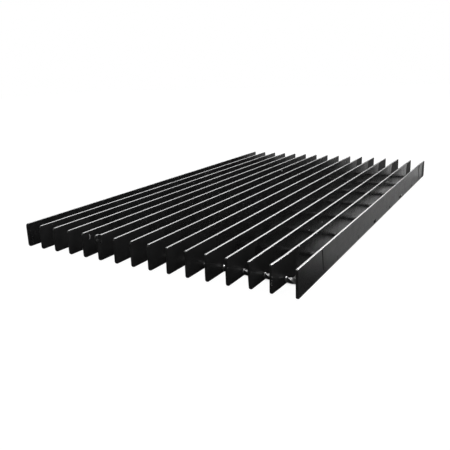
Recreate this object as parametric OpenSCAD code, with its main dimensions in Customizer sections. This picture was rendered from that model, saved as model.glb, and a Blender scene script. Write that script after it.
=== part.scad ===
// Welded steel bar grating panel.
// Deep flat bearing bars stand on edge, side by side, and twisted square cross
// rods are forge-welded across them near one edge. The panel lies with its rod
// side down, so the plain edges of the bars face up. The origin is at the centre
// of the panel's footprint, on the surface that it lies on. X runs across the
// bars, Y runs along them and Z is up. All sizes are in millimetres.

/* [Bearing bars] */
// Number of bearing bars
bar_count = 16; // [3:1:21]
// Distance between the centres of neighbouring bearing bars
bar_pitch = 30.1625; // [23:0.0125:45]
// Depth of a bearing bar, from its lower edge to its upper edge
bar_depth = 38.1; // [25.4:0.1:63.5]
// Thickness of a bearing bar
bar_thickness = 3.175; // [3.175:0.0125:6.35]
// Length of a bearing bar, which is the length of the panel
bar_length = 812.8; // [410:0.2:1220]
// Radius of the upper corners of a bar at its sheared ends, seen from the side
upper_corner_radius = 2.2; // [0.5:0.1:6]
// Radius of the lower corners, which the shear draws rounder
lower_corner_radius = 4.2; // [0.5:0.1:6]

/* [Cross rods] */
// Distance between the centres of neighbouring cross rods
rod_pitch = 101.6; // [50.8:0.1:203.2]
// Distance from the front ends of the bars to the centre of the first rod
first_rod_inset = 44.45; // [12:0.05:120]
// Width of the square rod across its flats
rod_size = 6.35; // [5:0.05:8]
// Quarter turns of twist from one bearing bar to the next
quarter_turns = 3; // [1:1:4]
// Straight steps that make up each quarter turn
steps_per_quarter = 2; // [2:1:4]

/* [Welds] */
// How far the squeezed-out metal of a weld stands out from the face of a bar
upset_height = 1.2; // [0.5:0.1:3]
// How far the squeezed-out metal reaches past the corners of the rod
upset_margin = 0.3; // [0.1:0.05:1]
// Gap between the lowest point of a weld and the lower edges of the bars
weld_gap = 0.2; // [0.1:0.05:2]

/* [Hidden] */

quarter = 90;
gap_count = bar_count - 1;
first_bar_x = -gap_count * bar_pitch / 2;

// The rod's corners turn on a circle, and the metal squeezed out of the bar at
// each weld is an octagon round that circle, just above the bars' lower edges.
rod_corner_radius = rod_size / sqrt(2);
upset_radius = rod_corner_radius + upset_margin;
rod_axis_z = upset_radius + weld_gap;

// As many rods as fit before the rounded corners at the far ends of the bars.
last_rod_room = bar_length - first_rod_inset - lower_corner_radius - upset_radius;
rod_count = floor(last_rod_room / rod_pitch) + 1;
first_rod_y = first_rod_inset - bar_length / 2;

// The twist makes whole quarter turns from bar to bar, so the rod lies flat in
// every bar. Its ends are welded into the outer bars, whose faces stay whole.
rod_length = gap_count * bar_pitch;
rod_quarters = gap_count * quarter_turns;

// Side view of a bar, with its length along X and its depth along Y: a sheet with
// its corners cut off straight, and a circle that rounds each of the four.
module bar_outline() {
    end_x = bar_length / 2;
    lower_x = end_x - lower_corner_radius;
    upper_x = end_x - upper_corner_radius;
    upper_y = bar_depth - upper_corner_radius;
    polygon([
        [-lower_x, 0], [lower_x, 0],
        [end_x, lower_corner_radius], [end_x, upper_y],
        [upper_x, bar_depth], [-upper_x, bar_depth],
        [-end_x, upper_y], [-end_x, lower_corner_radius]
    ]);
    for (end = [-1, 1]) {
        translate([end * lower_x, lower_corner_radius])
            circle(lower_corner_radius, $fn = 32);
        translate([end * upper_x, upper_y])
            circle(upper_corner_radius, $fn = 32);
    }
}

module bearing_bar() {
    rotate([90, 0, 90])
        linear_extrude(height = bar_thickness, center = true)
            bar_outline();
}

// The square rod is twisted like a right-hand screw, which is a negative twist.
module cross_rod() {
    translate([first_bar_x, 0, 0])
        rotate([0, 90, 0])
            linear_extrude(height = rod_length, twist = -rod_quarters * quarter,
                slices = rod_quarters * steps_per_quarter, segments = 4)
                square(rod_size, center = true);
}

// The metal squeezed out round the rod, from one place across a bar to another.
module weld_upset(from, to) {
    translate([from, 0, 0])
        rotate([0, 90, 0])
            cylinder(h = to - from, r = upset_radius, $fn = 8);
}

// One rod's welds. The outer faces of the outer bars are dressed flush.
module rod_welds() {
    proud = bar_thickness / 2 + upset_height;
    flush = bar_thickness / 4;
    for (i = [0 : gap_count])
        translate([first_bar_x + i * bar_pitch, 0, 0])
            weld_upset(i == 0 ? -flush : -proud, i == gap_count ? flush : proud);
}

module grating_panel() {
    color([0.06, 0.06, 0.065])
    union() {
        for (i = [0 : gap_count])
            translate([first_bar_x + i * bar_pitch, 0, 0])
                bearing_bar();
        for (j = [0 : rod_count - 1])
            translate([0, first_rod_y + j * rod_pitch, rod_axis_z]) {
                cross_rod();
                rod_welds();
            }
    }
}

grating_panel();
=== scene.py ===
# %% [markdown]
# # A welded steel grating panel
#
# Bar grating is made by laying flat steel bars on edge, side by side, and pressing twisted square
# rods down into their edges while a strong current melts the two together. The finished panel is
# sheared to size and dipped in glossy black paint. This lesson builds such a panel around a CAD
# model of it: the bars, the rods, the metal squeezed out at each weld, the paint and its flaws,
# and last a small studio.

# %% Load the CAD frame
import math
import random

import bmesh
import bpy
from mathutils import Matrix, Quaternion, Vector


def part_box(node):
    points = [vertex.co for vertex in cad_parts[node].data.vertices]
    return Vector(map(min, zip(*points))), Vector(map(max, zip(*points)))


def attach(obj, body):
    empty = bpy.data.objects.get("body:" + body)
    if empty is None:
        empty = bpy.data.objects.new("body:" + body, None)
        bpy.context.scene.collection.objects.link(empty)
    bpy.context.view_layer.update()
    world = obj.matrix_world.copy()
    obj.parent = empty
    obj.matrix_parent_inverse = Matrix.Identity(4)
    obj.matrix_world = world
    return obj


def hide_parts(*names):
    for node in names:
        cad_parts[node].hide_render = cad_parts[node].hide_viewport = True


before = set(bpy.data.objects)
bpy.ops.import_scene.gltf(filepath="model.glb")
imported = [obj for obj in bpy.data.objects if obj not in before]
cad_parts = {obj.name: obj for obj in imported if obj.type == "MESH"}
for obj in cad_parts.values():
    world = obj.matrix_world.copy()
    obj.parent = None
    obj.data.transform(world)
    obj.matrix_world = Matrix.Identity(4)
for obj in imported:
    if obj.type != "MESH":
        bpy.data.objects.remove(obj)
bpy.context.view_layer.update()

# %% [markdown]
# ## Sizes
#
# The overall sizes come from the CAD node, so the looks can't drift away from the construction.
# Only the counts and the stock sizes, which a box can't tell, are written here. They are the
# usual ones for this kind of grating, as remembered. The place of the first rod is fitted instead.

# %% Sizes
MM = 0.001
TOUCH = 0.01 * MM
NODE = "grating_panel"
node_low, node_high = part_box(NODE)
bar_count = 16
bar_thickness = 3.175 * MM
bar_length = node_high.y - node_low.y
bar_depth = node_high.z - node_low.z
bar_pitch = (node_high.x - node_low.x - bar_thickness) / (bar_count - 1)
bar_xs = [node_low.x + bar_thickness / 2 + i * bar_pitch for i in range(bar_count)]

rod_size = 6.35 * MM
rod_pitch = 101.6 * MM
rod_count = 8
first_rod = 44.45 * MM
rod_ys = [node_low.y + first_rod + j * rod_pitch for j in range(rod_count)]
upset_margin = 0.3 * MM
upset_height = 1.2 * MM
weld_gap = 0.2 * MM
rod_axis_z = node_low.z + rod_size / math.sqrt(2) + upset_margin + weld_gap
quarter_turns = 3
print(f"{bar_count} bars at {bar_pitch / MM:.4f} mm, {rod_count} rods at {rod_pitch / MM:.1f} mm")

# %% [markdown]
# ## Modelling helpers
#
# Blender's operators act on whatever is selected and active, so each helper first clears the
# selection. Vertices, edges and faces are picked in code by their place or direction, which does
# what a careful hand would do with the mouse.

# %% Helpers for selecting
def deselect_all():
    if bpy.context.mode != "OBJECT":
        bpy.ops.object.mode_set(mode="OBJECT")
    bpy.ops.object.select_all(action="DESELECT")


def make_active(piece):
    deselect_all()
    piece.select_set(True)
    bpy.context.view_layer.objects.active = piece


def edit_select(kind, wanted):
    """In edit mode, selects only the vertices, edges or faces that wanted() accepts."""
    bpy.ops.mesh.select_mode(type=kind)
    bpy.ops.mesh.select_all(action="DESELECT")
    mesh = bmesh.from_edit_mesh(bpy.context.object.data)
    mesh.normal_update()
    items = {"VERT": mesh.verts, "EDGE": mesh.edges, "FACE": mesh.faces}[kind]
    chosen = [item for item in items if wanted(item)]
    for item in chosen:
        item.select_set(True)
    bmesh.update_edit_mesh(bpy.context.object.data)
    return len(chosen)


def runs_along(edge, axis):
    run = edge.verts[1].co - edge.verts[0].co
    return abs(run[axis]) > 0.99 * run.length


# %% [markdown]
# The second set of helpers makes and copies pieces. A finished piece keeps its place in its mesh
# and not in its object, so every object stays at the origin.

# %% Helpers for making and copying
def add_box(name, size, centre):
    deselect_all()
    bpy.ops.mesh.primitive_cube_add(size=1, location=centre)
    box = bpy.context.object
    box.name = name
    box.scale = size
    bpy.ops.object.transform_apply(location=True, rotation=True, scale=True)
    return box


def slice_at(place, normal, **clearing):
    """Cuts the whole mesh in edit mode with a plane, and can clear and cap one side."""
    bpy.ops.mesh.select_all(action="SELECT")
    bpy.ops.mesh.bisect(plane_co=place, plane_no=normal, **clearing)


def apply_modifier(piece, kind, **settings):
    make_active(piece)
    modifier = piece.modifiers.new(kind.title(), kind)
    for key, value in settings.items():
        setattr(modifier, key, value)
    bpy.ops.object.modifier_apply(modifier=modifier.name)


def copy_to(piece, name, place):
    """A copy with its own mesh, whose place is in the mesh and not in the object."""
    twin = piece.copy()
    twin.data = piece.data.copy()
    twin.name = name
    bpy.context.collection.objects.link(twin)
    twin.data.transform(Matrix.Translation(place))
    return twin


def join(pieces, name):
    deselect_all()
    for piece in pieces:
        piece.select_set(True)
    bpy.context.view_layer.objects.active = pieces[0]
    bpy.ops.object.join()
    pieces[0].name = name
    return pieces[0]


# %% [markdown]
# ## Bearing bars
#
# A bearing bar is hot-rolled flat bar, standing on edge. Its long arrises come off the mill very
# slightly round. It is cut by a shear, which leaves its ends a little out of square, one corner
# drawn round by the blade and the other fairly crisp. The bar is made once as a plain blank,
# sliced across into inch-long sections so that it can be bent a little later. Each copy is then
# cut, rounded and pushed by its own small amounts, because sixteen equal bars look like a drawing
# and not like steel.

# %% The bar blank
SECTION = 25.4 * MM
blank = add_box("bar_blank", (bar_thickness, bar_length, bar_depth), (0, 0, node_low.z + bar_depth / 2))
make_active(blank)
bpy.ops.object.mode_set(mode="EDIT")
for k in range(1, round(bar_length / SECTION)):
    slice_at((0, node_low.y + k * SECTION, 0), (0, 1, 0))
deselect_all()
print("faces in the blank:", len(blank.data.polygons))

# %% [markdown]
# The shear's set-back at each end is given for the upper and the lower corner of the bar, in
# millimetres, from the left bar to the right one. A bar that is cut back more at its lower corner
# than at its upper one has a slanted end.

# %% How each bar was cut
FRONT_CUTS = [(0.3, 0.2), (0.2, 0.0), (0.4, 0.5), (0.0, 0.2), (0.0, 0.1), (0.0, 0.0), (0.2, 0.1),
              (0.0, 0.1), (0.1, 0.0), (0.6, 0.0), (0.0, 0.3), (0.2, 0.8), (0.2, 1.3), (0.3, 4.6),
              (3.2, 3.6), (2.0, 3.8)]
BACK_CUTS = [(0.0, 0.4), (0.2, 0.0), (0.0, 0.3), (0.3, 0.1), (0.0, 0.4), (0.1, 0.0), (0.2, 0.0),
             (0.0, 0.3), (0.1, 0.0), (0.0, 0.0), (0.2, 0.0), (1.5, 0.0), (6.5, 5.0), (8.0, 2.0),
             (13.5, 11.0), (12.5, 7.5)]
UPPER_CORNERS = [3.6] * 9 + [2.2] * 7
DRAWN_CORNER = 4.2 * MM
ARRIS = 0.8 * MM
END_REACH = 15 * MM


def shear_end(end, upper, lower):
    """Moves the two edges of one end inwards: end is -1 for the front end and 1 for the back end."""
    for height, set_back in ((node_high.z, upper), (node_low.z, lower)):
        edit_select("VERT", lambda v: v.co.y * end > bar_length / 2 - TOUCH
                    and abs(v.co.z - height) < TOUCH)
        bpy.ops.transform.translate(value=(0, -end * set_back * MM, 0))


def round_corners(height, radius, segments):
    """Rounds the corners of both ends at the given height, seen from the side of the bar."""
    nearly = bar_length / 2 - END_REACH
    edit_select("EDGE", lambda e: runs_along(e, 0) and abs(e.verts[0].co.z - height) < TOUCH
                and abs(e.verts[0].co.y) > nearly and e.calc_face_angle(0) > math.radians(30))
    bpy.ops.mesh.bevel(offset=radius, segments=segments, affect="EDGES", profile=0.5)


def round_arrises():
    edit_select("EDGE", lambda e: not runs_along(e, 0) and e.calc_face_angle(0) > math.radians(60))
    bpy.ops.mesh.bevel(offset=ARRIS, segments=2, affect="EDGES", profile=0.5)


# %% [markdown]
# A free end that sticks out past the outermost rod gets knocked sideways in handling. The push is
# made in steps, each of them moving all that lies in front of a line, so it grows towards the end
# as a bend does. Bars at the outside are only pushed inwards, which keeps the panel's width.

# %% How far each front end is pushed sideways
FRONT_PUSHES = [0.0, 0.3, -0.2, 0.2, 0.0, -0.6, 0.1, 0.2, -0.3, 0.2, 0.0, -0.3, -0.6, -0.6, -2.8, 0.0]
PUSH_STEPS = [(-290 * MM, 0.18), (-330 * MM, 0.22), (-356 * MM, 0.26), (-382 * MM, 0.34)]


def push_at(bar, y):
    """How far a bar is pushed sideways at y. Bars are counted from 0 at the left."""
    return FRONT_PUSHES[bar] * MM * sum(share for line, share in PUSH_STEPS if y < line)


def push_front_end(bar):
    for line, share in PUSH_STEPS:
        edit_select("VERT", lambda v: v.co.y < line)
        bpy.ops.transform.translate(value=(FRONT_PUSHES[bar] * MM * share, 0, 0))


# %% [markdown]
# The cross rods are cut off flush with the outer bars and dressed. Under the paint the cut rod
# still shows as a shallow square scar, and two of the scars are wider, perhaps bruised. The outer faces
# also carry a few fine upright seams. What made them isn't known. Both are modelled: the face is
# sliced along the outline of the mark, and what lies inside is set back by a few tenths of a
# millimetre. A seam is given by its place, its lean and its width.

# %% Scars and seams on the outer faces
SEAMS = [(89 * MM, 0.19, 3.6 * MM), (735 * MM, 0.31, 5 * MM), (774 * MM, 0.0, 5.5 * MM)]
SCAR_DEPTH = 0.3 * MM
SCAR_MARGIN = 0.5 * MM
SEAM_MARGIN = 0.2 * MM
BRUISES = {(1, 3): (10 * MM, 6 * MM), (1, 5): (20 * MM, 7 * MM)}


def within(value, low, high):
    return low < value < high


def rod_end_span(side, j):
    """Where the scar of a rod starts and ends along the bar; BRUISES holds the wider ones."""
    before, after = BRUISES.get((side, j), (rod_size / 2, rod_size / 2))
    return rod_ys[j] - before, rod_ys[j] + after


def sink_mark(side, wanted, margin, depth):
    """Insets and sinks the wanted part of the outer face on the given side."""
    edit_select("FACE", lambda f: f.normal.x * side > 0.99 and wanted(f.calc_center_median()))
    bpy.ops.mesh.inset(thickness=margin, depth=-depth, use_individual=False)


def mark_outer_face(side):
    half = rod_size / 2
    for height in (rod_axis_z - half, rod_axis_z + half):
        slice_at((0, 0, height), (0, 0, 1))
    for j in range(rod_count):
        for y in rod_end_span(side, j):
            slice_at((0, y, 0), (0, 1, 0))
    for place, lean, width in SEAMS:
        slice_at((0, node_low.y + place, 0), (0, 1, lean))
        slice_at((0, node_low.y + place + width, 0), (0, 1, lean))
    for j in range(rod_count):
        sink_mark(side, lambda c: within(c.y, *rod_end_span(side, j))
                  and within(c.z, rod_axis_z - half, rod_axis_z + half), SCAR_MARGIN, SCAR_DEPTH)
    for place, lean, width in SEAMS:
        sink_mark(side, lambda c: within(c.y + lean * c.z - node_low.y - place, 0, width),
                  SEAM_MARGIN, SCAR_DEPTH)


# %% [markdown]
# One free corner has been knocked sideways by a blow. The bend is short and sharp, so two more
# slices are made close together behind it, and only what lies in front of them is moved.

# %% Knock one corner of the sixth bar
KNOCKED_BAR = 5
KNOCK = -4.0 * MM
FOLD_START, FOLD_END = 6.5 * MM, 8 * MM
KNOCKED_HEIGHT, BENT_HEIGHT = 6 * MM, 12 * MM


def knock_corner():
    front = node_low.y
    for y in (front + FOLD_START, front + FOLD_END):
        slice_at((0, y, 0), (0, 1, 0))
    for z in (node_high.z - KNOCKED_HEIGHT, node_high.z - BENT_HEIGHT):
        slice_at((0, 0, z), (0, 0, 1))
    edit_select("VERT", lambda v: v.co.y < front + FOLD_START + 0.1 * MM
                and v.co.z > node_high.z - KNOCKED_HEIGHT - 0.1 * MM)
    bpy.ops.transform.translate(value=(KNOCK, 0, 0))


# %% [markdown]
# The far free ends of the six right-hand bars are dull and dark. A slice marks where that begins,
# so that the faces beyond it can get a paint of their own. Then the sixteen bars are made, each
# one a copy of the blank. The weighted normals keep the wide faces flat beside the small rounds.

# %% Make the sixteen bars
DULL_ENDS = {10: 350 * MM, 11: 342 * MM, 12: 322 * MM, 13: 320 * MM, 14: 336 * MM, 15: 366 * MM}
DULL_LEAN = -0.25


def in_dull_end(i, centre):
    return i in DULL_ENDS and centre.y + DULL_LEAN * centre.z > DULL_ENDS[i]


bars = []
for i in range(bar_count):
    bar = copy_to(blank, f"bearing_bar_{i + 1:02d}", (0, 0, 0))
    make_active(bar)
    bpy.ops.object.mode_set(mode="EDIT")
    shear_end(-1, *FRONT_CUTS[i])
    shear_end(1, *BACK_CUTS[i])
    if i in DULL_ENDS:
        slice_at((0, DULL_ENDS[i], 0), (0, 1, DULL_LEAN))
    round_corners(node_high.z, UPPER_CORNERS[i] * MM, 5)
    round_corners(node_low.z, DRAWN_CORNER, 6)
    if i in (0, bar_count - 1):
        mark_outer_face(-1 if i == 0 else 1)
    round_arrises()
    push_front_end(i)
    if i == KNOCKED_BAR:
        knock_corner()
    bpy.ops.mesh.select_all(action="SELECT")
    bpy.ops.mesh.remove_doubles(threshold=0.005 * MM)
    bpy.ops.mesh.normals_make_consistent(inside=False)
    bpy.ops.object.mode_set(mode="OBJECT")
    bpy.ops.object.shade_smooth_by_angle(angle=math.radians(40))
    apply_modifier(bar, "WEIGHTED_NORMAL", keep_sharp=True)
    bar.data.transform(Matrix.Translation((bar_xs[i], 0, 0)))
    bars.append(bar)
bpy.data.objects.remove(blank)
print("faces in the bars:", [len(bar.data.polygons) for bar in bars])

# %% [markdown]
# ## Cross rods
#
# A cross rod is a square rod, twisted cold like a right-hand screw. One stretch, from the middle
# of one bar to the middle of the next, holds three quarter turns, so the rod lies with its flats
# level in every bar. That makes an array the right tool: a box is bevelled, sliced, twisted by a
# modifier, and repeated along X, where the ends meet exactly.

# %% Model one cross rod
ROD_ARRIS = 1.1 * MM
SLICES_PER_QUARTER = 8
rod = add_box("cross_rod", (bar_pitch, rod_size, rod_size), (0, 0, 0))
make_active(rod)
bpy.ops.object.mode_set(mode="EDIT")
edit_select("EDGE", lambda e: runs_along(e, 0))
bpy.ops.mesh.bevel(offset=ROD_ARRIS, segments=2, affect="EDGES", profile=0.5)
edit_select("EDGE", lambda e: runs_along(e, 0))
bpy.ops.mesh.subdivide(number_cuts=quarter_turns * SLICES_PER_QUARTER - 1)
edit_select("FACE", lambda f: abs(f.normal.x) > 0.9)
bpy.ops.mesh.delete(type="FACE")
deselect_all()
apply_modifier(rod, "SIMPLE_DEFORM", deform_method="TWIST", deform_axis="X",
               angle=math.radians(90 * quarter_turns))
apply_modifier(rod, "ARRAY", count=bar_count - 1, relative_offset_displace=(1, 0, 0),
               use_merge_vertices=True, merge_threshold=TOUCH)
bpy.ops.object.mode_set(mode="EDIT")
edit_select("EDGE", lambda e: e.is_boundary)
bpy.ops.mesh.edge_face_add()
bpy.ops.object.mode_set(mode="OBJECT")
bpy.ops.object.shade_smooth_by_angle(angle=math.radians(40))
apply_modifier(rod, "WEIGHTED_NORMAL", keep_sharp=True)
rod_start = min(v.co.x for v in rod.data.vertices)
print("faces in a rod:", len(rod.data.polygons))

# %% [markdown]
# The rod is copied to its eight places. All eight are turned alike, as they are in the CAD model.

# %% Copy the rod to its eight places
rods = []
for j, y in enumerate(rod_ys):
    rods.append(copy_to(rod, f"cross_rod_{j + 1}", (bar_xs[0] - rod_start, y, rod_axis_z)))
bpy.data.objects.remove(rod)
test = [v.co for v in rods[0].data.vertices if abs(v.co.x - bar_xs[3]) < 0.1 * MM]
print("rod corner radius at a bar:", max(math.hypot(c.y - rod_ys[0], c.z - rod_axis_z) for c in test) / MM)

# %% [markdown]
# ## Welds
#
# The press squeezes softened steel out of the bar, and it sets as a low uneven collar round the
# rod on both sides of the bar. A collar could be carved with sculpting brushes. Here it is a short
# cylinder whose rims are bevelled to a soft shoulder and whose surface is then pushed about by a
# noise texture, which is quick and stays light, as there are 128 of them. Four differently
# pushed collars, turned at random, keep most neighbours from matching.

# %% Model four weld collars
COLLAR_SIDES = 16
COLLAR_SWELL = 0.25 * MM
COLLAR_SHOULDER = 1.1 * MM
LUMP_SIZE = 3.2 * MM
LUMP_HEIGHT = 1.2 * MM
LUMP_STEP = 40 * MM
collar_length = bar_thickness + 2 * upset_height
collar_radius = rod_size / math.sqrt(2) + upset_margin


def make_collar(number):
    """Each collar is pushed by another part of the noise, by standing somewhere else meanwhile."""
    deselect_all()
    bpy.ops.mesh.primitive_cylinder_add(vertices=COLLAR_SIDES, radius=collar_radius - COLLAR_SWELL,
                                        depth=collar_length, rotation=(0, math.radians(90), 0))
    collar = bpy.context.object
    collar.name = f"weld_collar_{number}"
    bpy.ops.object.transform_apply(location=True, rotation=True, scale=True)
    bpy.ops.object.mode_set(mode="EDIT")
    edit_select("EDGE", lambda e: e.calc_face_angle(0) > math.radians(60))
    bpy.ops.mesh.bevel(offset=COLLAR_SHOULDER, segments=2, affect="EDGES", profile=0.55)
    bpy.ops.object.mode_set(mode="OBJECT")
    lumps = bpy.data.textures.new(f"collar_lumps_{number}", "CLOUDS")
    lumps.noise_scale = LUMP_SIZE
    collar.data.transform(Matrix.Translation((LUMP_STEP * number, 0, 0)))
    apply_modifier(collar, "DISPLACE", texture=lumps, texture_coords="LOCAL", strength=LUMP_HEIGHT,
                   mid_level=0.62)
    collar.data.transform(Matrix.Translation((-LUMP_STEP * number, 0, 0)))
    bpy.ops.object.shade_smooth_by_angle(angle=math.radians(50))
    return collar


collars = [make_collar(k) for k in range(4)]
print("faces in a collar:", len(collars[0].data.polygons))

# %% [markdown]
# The collars on the outer bars show only on the inside: the outside was dressed flush, so the
# half that would stick out of the panel is sliced away.

# %% Place the collars along each rod
def trim_outside(piece, side):
    make_active(piece)
    bpy.ops.object.mode_set(mode="EDIT")
    slice_at((bar_xs[0 if side < 0 else -1], 0, 0), (side, 0, 0), clear_outer=True, use_fill=True)
    deselect_all()


chance = random.Random(4)
welds = []
for j, y in enumerate(rod_ys):
    row = []
    for i, x in enumerate(bar_xs):
        collar = chance.choice(collars)
        turned = copy_to(collar, f"weld_{j}_{i}", (0, 0, 0))
        turned.data.transform(Matrix.Rotation(math.radians(90 * chance.randrange(4)), 4, "X"))
        turned.data.transform(Matrix.Translation((x + push_at(i, y), y, rod_axis_z)))
        if i in (0, bar_count - 1):
            trim_outside(turned, -1 if i == 0 else 1)
        row.append(turned)
    welds.append(join(row, f"welds_of_rod_{j + 1}"))
for collar in collars:
    bpy.data.objects.remove(collar)
lowest = min(v.co.z for weld in welds for v in weld.data.vertices)
print("faces in the welds:", sum(len(w.data.polygons) for w in welds), "lowest", lowest / MM)

# %% [markdown]
# ## Pale marks and painted highlights
#
# Small pale flakes stand on the faces and edges, with one curved sliver near an end. Most are
# pale spots. The row of four near the front end of the fifteenth bar is a painted highlight,
# sparkle on its sheared edge, and the two spots just under that bar's upper edge are painted
# highlights, bright beads in the line of the edge. Each is a thin flake with soft rims that stands
# proud of the face by a tenth of a millimetre. The one on the last bar lies in the scar of a rod,
# so that the panel keeps its width. They are one joined piece, which is easy to leave out. A spot
# is given as the number of its bar, counted from 0 at the left, then y and z in millimetres, then
# width and height.

# %% Pale marks and painted highlights on the right-hand faces
# The two spots on bar 14 at z 36.9 are painted highlights, bright beads in the line of the upper edge.
SPOTS = [(4, -379.5, 20.3, 0.7, 0.8), (12, -404.4, 25.2, 0.6, 0.8), (13, -151.6, 21.1, 2.6, 0.9),
         (13, -209.3, 23.7, 2.2, 0.8), (6, 175.0, 33.6, 6.0, 1.1), (14, -322.6, 36.9, 2.0, 1.0),
         (14, -259.9, 36.9, 2.4, 1.0), (15, 149.6, 6.0, 4.6, 3.4)]
FLAKE = 0.2 * MM
FLAKE_RIM = 0.3
SLIVER_SECTIONS = 8


def add_flake(bar, y, z, width, height):
    """A thin flake on the right-hand face of a bar."""
    x = bar_xs[bar] + bar_thickness / 2 + push_at(bar, y * MM)
    if bar == bar_count - 1:
        x -= FLAKE
    flake = add_box("flake", (FLAKE, width * MM, height * MM), (x, y * MM, node_low.z + z * MM))
    make_active(flake)
    bpy.ops.object.mode_set(mode="EDIT")
    edit_select("EDGE", lambda e: runs_along(e, 0))
    bpy.ops.mesh.bevel(offset=FLAKE_RIM * min(width, height) * MM, segments=2, affect="EDGES")
    deselect_all()
    return flake


def add_sliver(bar, y, z, width, height, bulge):
    """A flake that is cut across into sections, which are pushed into an arc."""
    flake = add_flake(bar, y, z, width, height)
    make_active(flake)
    bpy.ops.object.mode_set(mode="EDIT")
    centre = node_low.z + z * MM
    reach = height * MM / 2
    for k in range(1, SLIVER_SECTIONS):
        slice_at((0, 0, centre - reach + 2 * k * reach / SLIVER_SECTIONS), (0, 0, 1))
    levels = sorted({round(v.co.z / MM, 2) for v in bmesh.from_edit_mesh(flake.data).verts})
    for level in levels:
        edit_select("VERT", lambda v: round(v.co.z / MM, 2) == level)
        share = 1 - ((level * MM - centre) / reach) ** 2
        bpy.ops.transform.translate(value=(0, bulge * MM * share, 0))
    deselect_all()
    return flake


flakes = [add_flake(*spot) for spot in SPOTS]
flakes.append(add_sliver(4, -393.4, 30.0, 0.9, 7.4, 1.3))
# A row of four flakes near the front end of bar 14 is a painted highlight: sparkle on the sheared edge.
flakes += [add_flake(14, -402.2, z, 0.5, 0.8) for z in (12.5, 15.2, 18.4, 23.0)]
pale_marks_and_highlights = join(flakes, "pale_marks_and_painted_highlights")
print("faces in the chips:", len(pale_marks_and_highlights.data.polygons))

# %% [markdown]
# ## Paint
#
# A material is a tree of nodes. These helpers add one node each and return its output, so that a
# material can be written like a sum.

# %% Helpers for material nodes
def new_material(name):
    material = bpy.data.materials.new(name)
    material.use_nodes = True
    tree = material.node_tree
    tree.nodes.clear()
    return material, tree


def add_node(tree, kind, **settings):
    node = tree.nodes.new(kind)
    for key, value in settings.items():
        if key in node.inputs:
            node.inputs[key].default_value = value
        else:
            setattr(node, key, value)
    return node


def noise(tree, where, scale, detail=2.0, stretch=(1, 1, 1)):
    mapping = add_node(tree, "ShaderNodeMapping", Scale=stretch)
    texture = add_node(tree, "ShaderNodeTexNoise", Scale=scale, Detail=detail)
    tree.links.new(where, mapping.inputs["Vector"])
    tree.links.new(mapping.outputs["Vector"], texture.inputs["Vector"])
    return texture.outputs["Fac"]


def spread(tree, value, low, high):
    """Maps the middle of a noise, where nearly all of it lies, to the range low to high."""
    node = add_node(tree, "ShaderNodeMapRange")
    node.inputs["From Min"].default_value = 0.3
    node.inputs["From Max"].default_value = 0.7
    node.inputs["To Min"].default_value = low
    node.inputs["To Max"].default_value = high
    tree.links.new(value, node.inputs["Value"])
    return node.outputs["Result"]


def ramp(tree, value, start, stop, low, high):
    """Goes smoothly from low at start to high at stop."""
    node = add_node(tree, "ShaderNodeMapRange", interpolation_type="SMOOTHSTEP")
    for name, number in (("From Min", start), ("From Max", stop), ("To Min", low), ("To Max", high)):
        node.inputs[name].default_value = number
    tree.links.new(value, node.inputs["Value"])
    return node.outputs["Result"]


def arithmetic(tree, operation, first, second):
    node = add_node(tree, "ShaderNodeMath", operation=operation)
    for socket, value in zip(node.inputs, (first, second)):
        if isinstance(value, (int, float)):
            socket.default_value = value
        else:
            tree.links.new(value, socket)
    return node.outputs["Value"]


def choose(tree, switch, off, on):
    """A number that is off where the switch is 0 and on where it is 1."""
    node = add_node(tree, "ShaderNodeMix", data_type="FLOAT")
    tree.links.new(switch, node.inputs["Factor"])
    for socket, value in ((node.inputs[2], off), (node.inputs[3], on)):
        if isinstance(value, (int, float)):
            socket.default_value = value
        else:
            tree.links.new(value, socket)
    return node.outputs[0]


def bump(tree, height, distance, before=None):
    node = add_node(tree, "ShaderNodeBump", Strength=1.0, Distance=distance)
    tree.links.new(height, node.inputs["Height"])
    if before is not None:
        tree.links.new(before, node.inputs["Normal"])
    return node.outputs["Normal"]


# %% [markdown]
# The panel is dipped in a glossy black paint. Close up it is not one flat black: it is
# thinner and a little browner in some places, its gloss comes and goes, dust has settled in it,
# and its skin has the fine dimples that are called orange peel. All of that is built from noise
# on Object coordinates, in metres, so it keeps its scale on every piece. Towards the far ends the
# gloss is rubbed off.

# %% Black paint
SCUFF_START = rod_ys[-1] - 15 * MM
SCUFF_FULL = node_high.y - 12 * MM
SCUFF_UNEVEN = 8 * MM
TONE_SCALE, GLOSS_SCALE, PEEL_SCALE = 22, 70, 420


def scuffed(tree, where, gloss, scuff):
    """Rubs the gloss off the last stretch, as on a panel that has stood on its far end."""
    axes = add_node(tree, "ShaderNodeSeparateXYZ")
    tree.links.new(where, axes.inputs["Vector"])
    uneven = arithmetic(tree, "MULTIPLY", spread(tree, noise(tree, where, 45, 3), -1, 1), SCUFF_UNEVEN)
    y = arithmetic(tree, "ADD", axes.outputs["Y"], uneven)
    rubbed = ramp(tree, y, SCUFF_START, SCUFF_FULL, 0, scuff)
    return arithmetic(tree, "ADD", gloss, rubbed)


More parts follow.
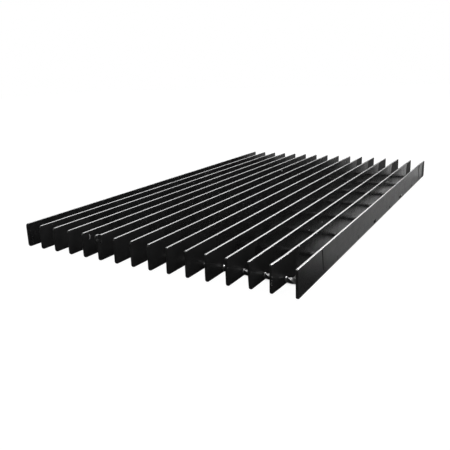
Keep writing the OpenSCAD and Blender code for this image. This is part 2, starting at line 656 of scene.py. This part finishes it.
def black_paint(name, gloss, peel, lumps, lump_scale, stretch=(1, 1, 1), tone=1.0, ior=1.5, scuff=0.35):
    """Black dip paint: gloss is a pair of roughnesses, peel and lumps are heights in metres."""
    material, tree = new_material(name)
    where = add_node(tree, "ShaderNodeTexCoord").outputs["Object"]
    shader = add_node(tree, "ShaderNodeBsdfPrincipled", IOR=ior)
    colour = add_node(tree, "ShaderNodeMix", data_type="RGBA")
    colour.inputs[6].default_value = (0.012 * tone, 0.012 * tone, 0.0123 * tone, 1)
    colour.inputs[7].default_value = (0.021 * tone, 0.021 * tone, 0.0212 * tone, 1)
    tree.links.new(spread(tree, noise(tree, where, TONE_SCALE, 4), 0, 1), colour.inputs["Factor"])
    tree.links.new(colour.outputs[2], shader.inputs["Base Color"])
    fine = spread(tree, noise(tree, where, GLOSS_SCALE, 3), *gloss)
    tree.links.new(scuffed(tree, where, fine, scuff), shader.inputs["Roughness"])
    skin = bump(tree, noise(tree, where, PEEL_SCALE, 1), peel)
    skin = bump(tree, noise(tree, where, lump_scale, 3, stretch), lumps, skin)
    tree.links.new(skin, shader.inputs["Normal"])
    output = add_node(tree, "ShaderNodeOutputMaterial")
    tree.links.new(shader.outputs["BSDF"], output.inputs["Surface"])
    return material


# %% [markdown]
# The paints differ in gloss and in how strongly they mirror. Flat sides are smooth, sheared ends
# are coarse, and marks, dull ends and the sides near the front hardly mirror at all. The first rod
# and its welds are the glossiest, and dust lies on the rods behind them. One dip bath would give a
# single index of about 1.5, so the other values are set for the look and not measured.

# %% The paints of the panel
front_paint = black_paint("black_paint_front_faces", (0.42, 0.58), 0.02 * MM, 0.25 * MM, 32, ior=1.12)
face_paint = black_paint("black_paint_faces", (0.17, 0.27), 0.02 * MM, 0.25 * MM, 32, scuff=0.08)
edge_paint = black_paint("black_paint_edges", (0.14, 0.3), 0.01 * MM, 0.05 * MM, 90)
end_paint = black_paint("black_paint_sheared_ends", (0.35, 0.55), 0.05 * MM, 0.3 * MM, 900,
                        (1, 1, 0.15), 0.45)
rod_paint = black_paint("black_paint_rods", (0.26, 0.36), 0.02 * MM, 0.08 * MM, 260, ior=2.0)
weld_paint = black_paint("black_paint_welds", (0.26, 0.36), 0.03 * MM, 0.15 * MM, 400, ior=2.0)
dusty_rod_paint = black_paint("dusty_black_paint_rods", (0.3, 0.45), 0.02 * MM, 0.08 * MM, 260, ior=1.2)
dusty_weld_paint = black_paint("dusty_black_paint_welds", (0.3, 0.45), 0.03 * MM, 0.15 * MM, 400, ior=1.2)
dull_paint = black_paint("dull_black_paint", (0.45, 0.65), 0.05 * MM, 0.3 * MM, 60, ior=1.15)
seam_paint = black_paint("black_paint_seams", (0.6, 0.8), 0.05 * MM, 0.3 * MM, 600, tone=0.4, ior=1.1)

# %% [markdown]
# The flakes are a pale grey, which is matt and uneven. On some of them it is a painted highlight.

# %% Pale grey of the flakes, in places a painted highlight
def pale_flake_paint():
    """Pale grey for the flakes, dusty and unevenly grey; on some flakes a painted highlight."""
    material, tree = new_material("pale_spots_and_painted_highlights")
    where = add_node(tree, "ShaderNodeTexCoord").outputs["Object"]
    shader = add_node(tree, "ShaderNodeBsdfPrincipled", IOR=1.4)
    colour = add_node(tree, "ShaderNodeMix", data_type="RGBA")
    colour.inputs[6].default_value = (0.5, 0.5, 0.5, 1)
    colour.inputs[7].default_value = (0.8, 0.8, 0.79, 1)
    tree.links.new(spread(tree, noise(tree, where, 900, 3), 0, 1), colour.inputs["Factor"])
    tree.links.new(colour.outputs[2], shader.inputs["Base Color"])
    tree.links.new(spread(tree, noise(tree, where, 500, 2), 0.4, 0.7), shader.inputs["Roughness"])
    tree.links.new(bump(tree, noise(tree, where, 1500, 2), 0.03 * MM), shader.inputs["Normal"])
    output = add_node(tree, "ShaderNodeOutputMaterial")
    tree.links.new(shader.outputs["BSDF"], output.inputs["Surface"])
    return material


pale_marks_and_highlights.data.materials.append(pale_flake_paint())

# %% [markdown]
# Each face of a bar gets its paint by its place and direction. Every piece is attached to the body
# root, and the CAD node that the pieces replace is hidden. A face that lies a little inside the
# outer face of an outer bar counts as the bottom of a mark. The narrow rounds along the long edges
# of the outer bars pass that test too.

# %% Give each face its paint
SIDE, EDGE, SHEARED, MARK, FRONT_SIDE, DULL_END = range(6)
SCAR_TOP = 12 * MM
DARK_SCARS_FROM = rod_ys[2] + 20 * MM
FRONT_SIDE_END = node_low.y + 3 * SECTION
SHALLOWEST_MARK, DEEPEST_MARK = 0.1 * MM, MM
SQUARE_ON, MOSTLY = 0.9, 0.6


def paint_of_face(i, face):
    outside = {0: -1, bar_count - 1: 1}.get(i, 0)
    depth = bar_thickness / 2 - outside * (face.center.x - bar_xs[i])
    sunk = outside and abs(face.normal.x) > SQUARE_ON and SHALLOWEST_MARK < depth < DEEPEST_MARK
    if sunk and (face.center.z > SCAR_TOP or face.center.y > DARK_SCARS_FROM):
        return MARK
    if face.normal.x > SQUARE_ON and in_dull_end(i, face.center):
        return DULL_END
    if abs(face.normal.y) > MOSTLY:
        return SHEARED
    if abs(face.normal.z) > MOSTLY:
        return EDGE
    if not outside and face.normal.x > SQUARE_ON and face.center.y < FRONT_SIDE_END:
        return FRONT_SIDE
    return SIDE


for i, bar in enumerate(bars):
    for material in (face_paint, edge_paint, end_paint, seam_paint, front_paint, dull_paint):
        bar.data.materials.append(material)
    for face in bar.data.polygons:
        face.material_index = paint_of_face(i, face)
for j in range(rod_count):
    rods[j].data.materials.append(rod_paint if j == 0 else dusty_rod_paint)
    welds[j].data.materials.append(weld_paint if j == 0 else dusty_weld_paint)

for piece in bars + rods + welds + [pale_marks_and_highlights]:
    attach(piece, "root")
    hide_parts(NODE)

# %% [markdown]
# ## Studio
#
# The panel lies on a plain pale floor in a white room. The world and the floor around the panel
# are white to the camera. Beneath the panel the glow is left out and the floor is a plain grey, so
# it shows its real shadow, darkened further by this painted shade. What the paint mirrors of the
# floor is a painted reflection, set apart from that and darker than white: painted shade makes its
# tone fall off towards the front, between the bars and just behind the panel, so the black sides
# stay dark. Only the slot beside the last bar mirrors more, a painted light. This is a look that
# was chosen, and the real floor isn't known to be like it.
# Each fade is given as the two places, in metres, where it starts and ends.

# %% Floor
FLOOR_GLOW = 0.95
# The painted reflection of the floor, which glossy rays see: a painted shade towards the front.
MIRRORED_FRONT = 0.05
MIRRORED_BACK = 0.52
MIRRORED_FADE = (-0.32, -0.12)
OUTER_FADE = (-0.36, -0.2)
# The floor beneath the panel, grey and without glow to the camera: a painted shade.
SHADE_START = rod_ys[0] - 4 * MM
SHADE_FULL = rod_ys[0] + 8 * MM
SHADE_END = node_high.y + 5 * MM
SHADE_TONE = 0.3
# Factors on the painted reflection: painted shade between the bars and behind the panel, painted light in
# the last slot.
SHADE_BETWEEN_BARS = 0.36
SHADE_BETWEEN_FAR_ENDS = 0.72
LIGHT_IN_LAST_SLOT = 1.9
LIGHT_IN_LAST_SLOT_FAR_END = 1.25
SHADE_BEHIND_PANEL = 0.25
FAR_ENDS_FADE = (0.3, 0.42)
LAST_SLOT_FADE = (0.25, 0.4)
LAST_SLOT_EDGE = (0.185, 0.205)
PATCH_LEFT_EDGE = (-0.09, 0.0)
PATCH_RIGHT_EDGE = (0.07, 0.13)
PATCH_FRONT_EDGE = (0.33, 0.43)
PATCH_SLANT = 0.5
FLOOR_COLOUR = 0.6
FLOOR_COLOUR_TO_CAMERA = 0.12
SHADE_FADE = 30 * MM
FLOOR_SIZE = 14
FLOOR_GAP = 0.1 * MM


def under_panel(tree, axes):
    """1 on the floor beneath the panel and 0 outside it."""
    across = arithmetic(tree, "ABSOLUTE", axes.outputs["X"], 0)
    inside = arithmetic(tree, "LESS_THAN", across, bar_xs[-1])
    behind = ramp(tree, axes.outputs["Y"], SHADE_START, SHADE_FULL, 0, 1)
    before = ramp(tree, axes.outputs["Y"], SHADE_END - SHADE_FADE, SHADE_END, 1, 0)
    return arithmetic(tree, "MULTIPLY", inside, arithmetic(tree, "MULTIPLY", behind, before))


def painted_reflection_tone(tree, axes):
    """Painted reflection of the floor: painted shade in front, between bars and behind, painted light in
    the last slot.
    """
    tone = ramp(tree, axes.outputs["Y"], *MIRRORED_FADE, MIRRORED_FRONT, MIRRORED_BACK)
    outer = ramp(tree, axes.outputs["Y"], *OUTER_FADE, MIRRORED_FRONT, MIRRORED_BACK)
    slanted = arithmetic(tree, "SUBTRACT", axes.outputs["Y"],
                         arithmetic(tree, "MULTIPLY", axes.outputs["X"], PATCH_SLANT))
    between = ramp(tree, axes.outputs["Y"], *FAR_ENDS_FADE, SHADE_BETWEEN_BARS, SHADE_BETWEEN_FAR_ENDS)
    last = ramp(tree, axes.outputs["Y"], *LAST_SLOT_FADE, LIGHT_IN_LAST_SLOT, LIGHT_IN_LAST_SLOT_FAR_END)
    between = choose(tree, ramp(tree, axes.outputs["X"], *LAST_SLOT_EDGE, 0, 1), between, last)
    across = arithmetic(tree, "MULTIPLY", ramp(tree, axes.outputs["X"], *PATCH_LEFT_EDGE, 0, 1),
                        ramp(tree, axes.outputs["X"], *PATCH_RIGHT_EDGE, 1, 0))
    shade_patch = arithmetic(tree, "MULTIPLY", across, ramp(tree, slanted, *PATCH_FRONT_EDGE, 0, 1))
    behind = choose(tree, shade_patch, between, SHADE_BEHIND_PANEL)
    left = arithmetic(tree, "LESS_THAN", axes.outputs["X"], bar_xs[-1] + bar_thickness / 2)
    return choose(tree, left, outer, arithmetic(tree, "MULTIPLY", tone, behind))


def floor_material():
    material, tree = new_material("floor_paper")
    where = add_node(tree, "ShaderNodeTexCoord").outputs["Object"]
    axes = add_node(tree, "ShaderNodeSeparateXYZ")
    tree.links.new(where, axes.inputs["Vector"])
    path = add_node(tree, "ShaderNodeLightPath")
    shaded = under_panel(tree, axes)
    # Beneath the panel the camera sees grey floor without glow: painted shade over its real shadow.
    to_camera = choose(tree, shaded, FLOOR_COLOUR_TO_CAMERA, SHADE_TONE)
    mirrored = painted_reflection_tone(tree, axes)
    tone = choose(tree, path.outputs["Is Camera Ray"], FLOOR_COLOUR, to_camera)
    # Glossy rays see the painted reflection of the floor instead.
    tone = choose(tree, path.outputs["Is Glossy Ray"], tone, mirrored)
    paper = add_node(tree, "ShaderNodeBsdfDiffuse")
    tree.links.new(tone, paper.inputs["Color"])
    strength = choose(tree, path.outputs["Is Camera Ray"], 0, choose(tree, shaded, FLOOR_GLOW, 0))
    glow = add_node(tree, "ShaderNodeEmission")
    tree.links.new(strength, glow.inputs["Strength"])
    both = add_node(tree, "ShaderNodeAddShader")
    tree.links.new(paper.outputs["BSDF"], both.inputs[0])
    tree.links.new(glow.outputs["Emission"], both.inputs[1])
    output = add_node(tree, "ShaderNodeOutputMaterial")
    tree.links.new(both.outputs["Shader"], output.inputs["Surface"])
    return material


deselect_all()
bpy.ops.mesh.primitive_plane_add(size=FLOOR_SIZE, location=(0, 0, node_low.z - FLOOR_GAP))
floor = bpy.context.object
floor.name = "floor"
bpy.ops.object.transform_apply(location=True, rotation=True, scale=True)
floor.data.materials.append(floor_material())

# %% [markdown]
# The world is the room. The camera sees it white, and the panel is lit by it at about half of that.

# %% World
ROOM_LEVEL = 0.55
world = bpy.data.worlds.new("studio")
bpy.context.scene.world = world
world.use_nodes = True
tree = world.node_tree
path = add_node(tree, "ShaderNodeLightPath")
level = add_node(tree, "ShaderNodeMix", data_type="FLOAT")
level.inputs[2].default_value = ROOM_LEVEL
level.inputs[3].default_value = 1.0
tree.links.new(path.outputs["Is Camera Ray"], level.inputs["Factor"])
background = tree.nodes["Background"]
background.inputs["Color"].default_value = (1, 1, 1, 1)
tree.links.new(level.outputs[0], background.inputs["Strength"])

# %% [markdown]
# Two softboxes behind the panel put the bright lines on the upper edges: the back one on most of
# the bars, the side one on the front left part. Two cards are seen only in the mirror of the paint.
# The corner card lights the rounded front corners. The slot card is much stronger than a plain lamp.
# It makes the glints on the first rod, and of the four lamps it also lightens the black faces most.

# %% Softboxes
def add_softbox(name, azimuth, elevation, distance, size, radiance):
    """Azimuth turns from +Y towards +X. A lamp's power is its radiance times pi times its area."""
    a, e = math.radians(azimuth), math.radians(elevation)
    place = Vector((math.sin(a) * math.cos(e), math.cos(a) * math.cos(e), math.sin(e))) * distance
    deselect_all()
    bpy.ops.object.light_add(type="AREA", location=place)
    lamp = bpy.context.object
    lamp.name = name
    lamp.data.shape = "RECTANGLE"
    lamp.data.size, lamp.data.size_y = size
    lamp.data.energy = radiance * math.pi * size[0] * size[1]
    lamp.rotation_euler = (-place).to_track_quat("-Z", "Y").to_euler()
    return lamp


add_softbox("back_softbox", -18, 30, 3.0, (1.9, 1.5), 5.0)
add_softbox("side_softbox", -55, 27, 3.0, (1.6, 1.5), 4.0)
for card in (add_softbox("corner_card", -52, 50, 3.0, (1.3, 1.0), 10.0),
             add_softbox("slot_card", 34, 57, 3.0, (3.0, 2.0), 60.0)):
    card.visible_diffuse = False

# %% [markdown]
# ## Camera
#
# The camera looks down on the panel from the front right, at a low angle, through a moderately
# long lens. The lens is shifted a little sideways, as in a view that was cropped off centre. The
# place, the angles and the shift were fitted to the view, so they aren't round numbers.

# %% Camera
camera_place = Vector((node_high.x + 0.203, node_low.y - 0.5119, node_low.z + 0.2534))
LOOK_AZIMUTH = math.radians(32.37)
LOOK_DOWN = math.radians(16.28)
ROLL = math.radians(-2.21)
deselect_all()
bpy.ops.object.camera_add(location=camera_place)
camera = bpy.context.object
camera.data.sensor_width = 36
camera.data.lens = 41.21
camera.data.shift_x = 0.0462
camera.data.shift_y = 0.0007
forward = Vector((-math.sin(LOOK_AZIMUTH) * math.cos(LOOK_DOWN),
                  math.cos(LOOK_AZIMUTH) * math.cos(LOOK_DOWN), -math.sin(LOOK_DOWN)))
camera.rotation_mode = "QUATERNION"
camera.rotation_quaternion = forward.to_track_quat("-Z", "Y") @ Quaternion((0, 0, 1), ROLL)
bpy.context.scene.camera = camera
bpy.context.scene.view_settings.view_transform = "Standard"
